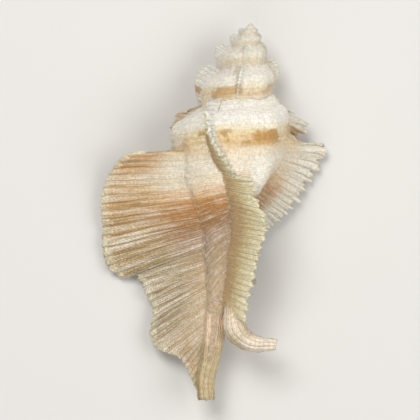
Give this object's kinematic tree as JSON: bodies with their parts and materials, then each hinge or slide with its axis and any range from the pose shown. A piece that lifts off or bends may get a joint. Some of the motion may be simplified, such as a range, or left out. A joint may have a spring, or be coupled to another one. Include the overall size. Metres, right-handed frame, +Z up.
{
  "type": "murex shell",
  "caption": "Winged murex sea shell with a stepped spire, frilled varices, a broad flared outer lip and a narrow siphonal canal, lying on its aperture side.",
  "frame": {"origin": "centre of the bounding box in plan, on the surface that the shell lies on", "axes": "+Z up, out of the shell's back; +Y along the shell's axis towards the apex; +X away from the flared outer lip"},
  "size_m": [0.0508, 0.0858, 0.0244],
  "materials": {
    "shell": "aragonite shell, cream and white with ochre and mauve spiral bands, satin outside, glossier round the aperture"
  },
  "bodies": {
    "root": {"shell": "shell"}
  },
  "joints": []
}
